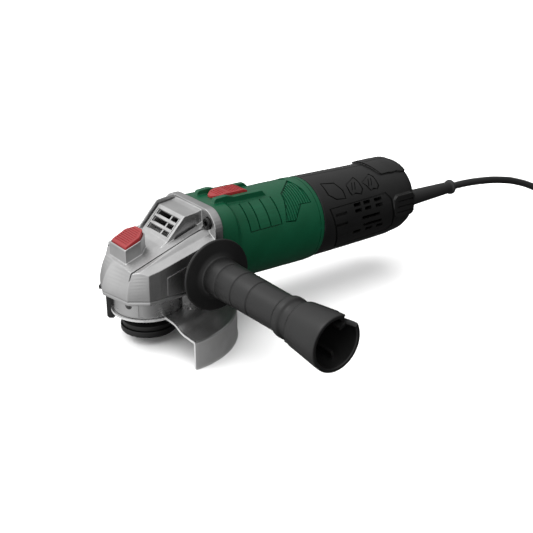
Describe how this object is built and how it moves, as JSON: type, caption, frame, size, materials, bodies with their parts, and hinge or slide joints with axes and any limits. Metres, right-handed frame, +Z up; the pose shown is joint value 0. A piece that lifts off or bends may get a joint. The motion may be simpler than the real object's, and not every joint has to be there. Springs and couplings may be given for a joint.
{
  "type": "angle grinder",
  "caption": "Corded angle grinder: cast gear head, plastic motor body and rear handle, half-round disc guard, cupped side handle and slide switch.",
  "frame": {"origin": "middle of the footprint of everything but the free lead, on the plane of the guard's lower rim", "axes": "+X along the motor from the gear head to the tail, -Y along the side handle, +Z up along the output spindle"},
  "size_m": [0.6605, 0.278, 0.1038],
  "materials": {
    "cast": "satin die casting",
    "steel": "satin",
    "black_steel": "blackened, satin",
    "felt": "felt ring",
    "brass": "plain",
    "red": "satin moulded",
    "green": "fine-grained moulded",
    "black": "fine-grained moulded",
    "terminal": "moulded",
    "iron": "laminated core",
    "copper": "lacquered copper",
    "carbon": "pressed carbon",
    "lead": "matt rubber"
  },
  "bodies": {
    "housing": {"gear_housing": "cast", "gear_cover": "cast", "cover_screw_1": "steel", "cover_screw_2": "steel", "cover_screw_3": "steel", "cover_screw_4": "steel", "spindle_bearing": "steel", "lock_spring": "steel", "front_bearing": "steel", "rear_bearing": "steel", "tail_screw_1": "steel", "tail_screw_2": "steel", "tail_screw_3": "steel", "handle_stud": "steel", "head_screw_1": "black_steel", "head_screw_2": "black_steel", "head_screw_3": "black_steel", "head_screw_4": "black_steel", "dust_seal": "felt", "upper_bush": "brass", "brush_holder_left": "brass", "brush_holder_right": "brass", "motor_housing": "green", "air_baffle": "black", "rear_shell_left": "black", "rear_shell_right": "black", "switch_module": "black", "cord_clamp": "black", "handle_grip": "black", "terminal_block": "terminal", "stator_core": "iron", "field_winding_upper": "copper", "field_winding_lower": "copper", "carbon_brush_left": "carbon", "carbon_brush_right": "carbon", "bend_relief": "lead", "cord": "lead", "cord_coil": "lead", "coil_tie": "lead", "cord_tail": "lead", "mains_plug": "lead"},
    "armature": {"armature_shaft": "steel", "armature_core": "iron", "armature_winding_front": "copper", "armature_winding_rear": "copper", "commutator": "copper", "fan": "black", "pinion": "steel"},
    "spindle": {"spindle": "steel", "crown_gear": "steel", "support_flange": "black_steel", "clamping_nut": "black_steel"},
    "lock": {"lock_button": "red", "lock_pin": "steel"},
    "slider": {"switch_slider": "red", "switch_rod": "black"},
    "guard": {"guard": "steel", "guard_collar": "steel", "lever_pin": "steel"},
    "guard_lever": {"guard_lever": "black"}
  },
  "joints": [
    {"name": "armature_spin", "type": "hinge", "parent": "housing", "child": "armature", "pos_m": [-0.05575, 0.0569, 0.065], "axis": [1, 0, 0], "continuous": true},
    {"name": "spindle_spin", "type": "hinge", "parent": "housing", "child": "spindle", "pos_m": [-0.14875, 0.0569, 0.04], "axis": [0, 0, 1], "continuous": true},
    {"name": "lock_press", "type": "slide", "parent": "housing", "child": "lock", "axis": [0, 0, -1], "range_m": [0, 0.0032], "stiffness_N_per_m": 1200, "deforming": ["lock_spring"]},
    {"name": "switch_slide", "type": "slide", "parent": "housing", "child": "slider", "axis": [-1, 0, 0], "range_m": [0, 0.008]},
    {"name": "guard_turn", "type": "hinge", "parent": "housing", "child": "guard", "pos_m": [-0.14875, 0.0569, 0.03], "axis": [0, 0, 1], "range_deg": [-75, 75]},
    {"name": "guard_lever_open", "type": "hinge", "parent": "guard", "child": "guard_lever", "pos_m": [-0.15186, 0.08654, 0.036], "axis": [0, 0, -1], "range_deg": [0, 35]}
  ],
  "couplings": [
    {"joint": "spindle_spin", "follows": "armature_spin", "ratio": 0.30556}
  ]
}
